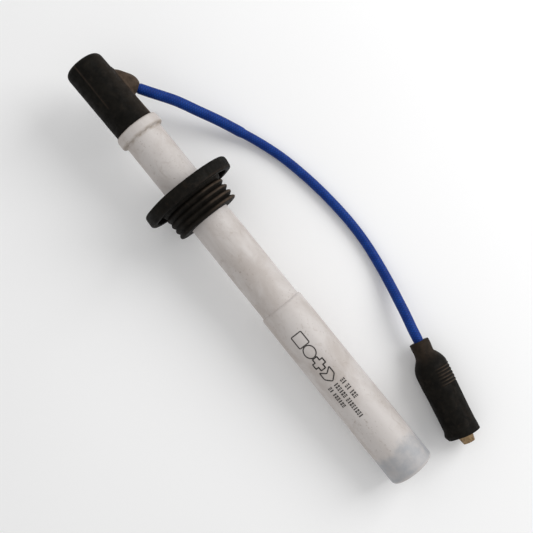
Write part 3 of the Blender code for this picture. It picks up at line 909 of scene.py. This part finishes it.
def make_lead(material):
    points = smooth_path([Vector(p) for p in LEAD_ROUTE], 6)
    sides, in_elbow, in_connector = 32, 0.020, 0.030
    bm = bmesh.new()
    lay = bm.loops.layers.uv.new("lay")
    across = Vector((0, 0, 1))
    rows, along, distances = [], 0.0, []
    for i, point in enumerate(points):
        ahead = points[min(i + 1, len(points) - 1)] - points[max(i - 1, 0)]
        ahead.normalize()
        across = (across - ahead * across.dot(ahead)).normalized()
        other = ahead.cross(across)
        along += (point - points[i - 1]).length if i else 0.0
        r = lead_radius(along)
        seen = in_elbow <= along <= LEAD_LENGTH - in_connector
        r = r if seen else min(r, LEAD_R * MM)
        ring = []
        for k in range(sides):
            angle = math.tau * k / sides
            ring.append(bm.verts.new(point + (across * math.cos(angle) + other * math.sin(angle)) * r))
        rows.append(ring)
        distances.append(along)
    for row in range(len(rows) - 1):
        for k in range(sides):
            j = (k + 1) % sides
            face = bm.faces.new((rows[row][k], rows[row][j], rows[row + 1][j], rows[row + 1][k]))
            here, there = distances[row], distances[row + 1]
            corners = ((here, k), (here, k + 1), (there, k + 1), (there, k))
            for loop, (length, turn) in zip(face.loops, corners):
                loop[lay].uv = (length, turn / sides * math.tau * LEAD_R * MM)
    bm.faces.new(rows[0])
    bm.faces.new(rows[-1])
    bmesh.ops.recalc_face_normals(bm, faces=bm.faces)
    mesh = to_mesh(bm, "lead")
    lead = piece("lead_insulation", mesh, Matrix.Identity(4), "probe", material, ["lead_cord"])


# ---------------------------------------------------------------- inside the socket


def make_liner(material):
    liner = [
        (8.8, 324.0),
        (11.8, 324.0),
        (12.2, 324.4),
        (12.2, 346.6),
        (11.8, 347.0),
        (10.4, 347.0),
        *arc(10.4, 345.4, 1.6, -90, -180, 8),
    ]
    grooves = [(8.8 + 0.25 * (1 - math.cos(math.tau * i / 8)), 345.0 - i * 0.5) for i in range(33)]
    mesh = lathe("liner", liner + grooves, 96)
    piece("liner_rubber", mesh, PROBE, "probe", material, ["socket_liner"], 60)


def make_plunger(material):
    plunger = [
        (0, 315.0),
        (5.1, 315.0),
        (5.3, 315.2),
        (5.3, 318.0),
        (5.1, 318.2),
        (3.9, 318.2),
        *arc(3.1, 333.2, 0.8, 0, -90, 6),
        (1.7, 334.0),
        (1.4, 333.7),
        (0, 333.5),
    ]
    mesh = lathe("plunger", refined(plunger, 3.0), 64)
    piece("plunger_brass", mesh, PROBE, "contact", material, ["contact_plunger"], 40)


def make_spring(material):
    """The coil behind the plunger."""
    first, last, turns, per_turn = 299.6, 314.1, 6, 28
    wire, coil, sides, travel = 0.5, 4.3, 12, 6.0
    points = []
    for i in range(turns * per_turn + 1):
        angle = math.tau * i / per_turn
        station = first + (last - first) * i / (turns * per_turn)
        points.append(PROBE @ (Vector((coil * math.cos(angle), coil * math.sin(angle), -station)) * MM))
    bm = bmesh.new()
    rows = []
    axis_z = (PROBE.to_3x3() @ Vector((0, 0, 1))).normalized()
    for i, point in enumerate(points):
        ahead = (points[min(i + 1, len(points) - 1)] - points[max(i - 1, 0)]).normalized()
        across = (axis_z - ahead * axis_z.dot(ahead)).normalized()
        other = ahead.cross(across)
        rows.append(
            [
                bm.verts.new(point + (across * math.cos(a) + other * math.sin(a)) * wire * MM)
                for a in (math.tau * k / sides for k in range(sides))
            ]
        )
    for upper, lower in zip(rows, rows[1:]):
        for k in range(sides):
            j = (k + 1) % sides
            bm.faces.new((upper[k], upper[j], lower[j], lower[k]))
    bm.faces.new(rows[0])
    bm.faces.new(rows[-1])
    bmesh.ops.recalc_face_normals(bm, faces=bm.faces)
    mesh, place = to_mesh(bm, "spring"), Matrix.Identity(4)
    spring = piece("spring_wire", mesh, place, "probe", material, ["contact_spring"])
    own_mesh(spring)


# ---------------------------------------------------------------- stage


def make_floor():
    mesh = bpy.data.meshes.new("floor")
    size = 3.0
    corners = [(-size, -size, 0), (size, -size, 0), (size, size, 0), (-size, size, 0)]
    mesh.from_pydata(corners, [], [(0, 1, 2, 3)])
    surface = Surface("pale_floor", 0.9)
    cloud = surface.between(surface.noise(3, 2), 0.3, 0.7)
    surface.colour(surface.mix(cloud, (0.93, 0.93, 0.93), (0.95, 0.95, 0.95)))
    mesh.materials.append(surface.material)
    floor = linked("floor", mesh)


def make_lights():
    world = bpy.data.worlds.new("studio")
    world.use_nodes = True
    background = world.node_tree.nodes["Background"]
    background.inputs["Color"].default_value = (1.0, 1.0, 1.0, 1)
    background.inputs["Strength"].default_value = 0.66
    bpy.context.scene.world = world
    bpy.context.scene.view_settings.view_transform = "Standard"

    place = Vector((0.12, 0.97, 0.71))
    light = bpy.data.lights.new("key_light", "AREA")
    light.shape = "DISK"
    light.size = 0.8
    light.energy = 8.3
    key = linked("key_light", light)
    key.location = place
    key.rotation_euler = (-place).to_track_quat("-Z", "Y").to_euler()


def make_camera():
    down = -(PROBE.to_3x3() @ Vector((0, 0, 1)))
    side = PROBE.to_3x3() @ Vector((0, 1, 0))
    back = PROBE.to_3x3() @ Vector((1, 0, 0))
    right = down * math.cos(CAMERA_TURN) + side * math.sin(CAMERA_TURN)
    up = back.cross(right)
    data = bpy.data.cameras.new("camera")
    data.sensor_width = 36.0
    data.angle = CAMERA_VIEW
    data.clip_start = 0.01
    camera = linked("camera", data)
    place = PROBE @ (Vector((CAMERA_DISTANCE, CAMERA_SIDE, -CAMERA_STATION)) * MM)
    turn = Matrix((right, up, back)).transposed().to_4x4()
    camera.matrix_world = Matrix.Translation(place) @ turn
    bpy.context.scene.camera = camera


def finish_nodes(materials):
    """Gives the CAD nodes that stay, the hidden inner pieces, their materials."""
    for entry in frame["record"]["subparts"]:
        node = frame["nodes"][entry["node"]]
        node.data.materials.clear()
        node.data.materials.append(materials[entry["material_slot"]])


def main():
    make_camera()
    white = insulator_surface("tube_insulator")
    sleeve_white = insulator_surface("sleeve_insulator", blue_from=345.0)
    plain_rubber = rubber_surface("plain_rubber")
    boot_rubber = rubber_surface("boot_rubber", boot_dust_and_highlight, 0.2)
    seal_rubber = rubber_surface("seal_rubber", seal_dust_and_highlight, 0.3)
    connector_rubber = rubber_surface("connector_rubber", connector_dust, 0.3)
    brass = metal_surface("dull_brass", (0.31, 0.215, 0.118), (0.11, 0.07, 0.04), 0.45)
    steel = metal_surface("plain_steel", (0.52, 0.52, 0.53), (0.30, 0.29, 0.28), 0.3)
    copper = metal_surface("copper_strands", (0.62, 0.27, 0.14), (0.30, 0.13, 0.08), 0.35)
    grey = rubber_surface("liner_silicone", lambda s: s.between(s.noise(60), 0.0, 0.1, 0.6, 0.9))
    blue = lead_surface()
    ceramic = insulator_surface("suppressor_ceramic")
    finish_nodes(
        {
            "insulator": white,
            "rubber": plain_rubber,
            "liner": grey,
            "lead": blue,
            "brass": brass,
            "steel": steel,
            "copper": copper,
            "ceramic": ceramic,
        }
    )
    make_upper_tube(white)
    make_sleeve(sleeve_white)
    make_print(ink_surface())
    make_flange_seal(seal_rubber)
    make_elbow_boot(boot_rubber)
    make_liner(grey)
    make_plunger(brass)
    make_spring(steel)
    boot, contact = make_connector_rubber(connector_rubber), make_contact_nose(brass)
    make_lead(blue)
    make_floor()
    make_lights()


main()
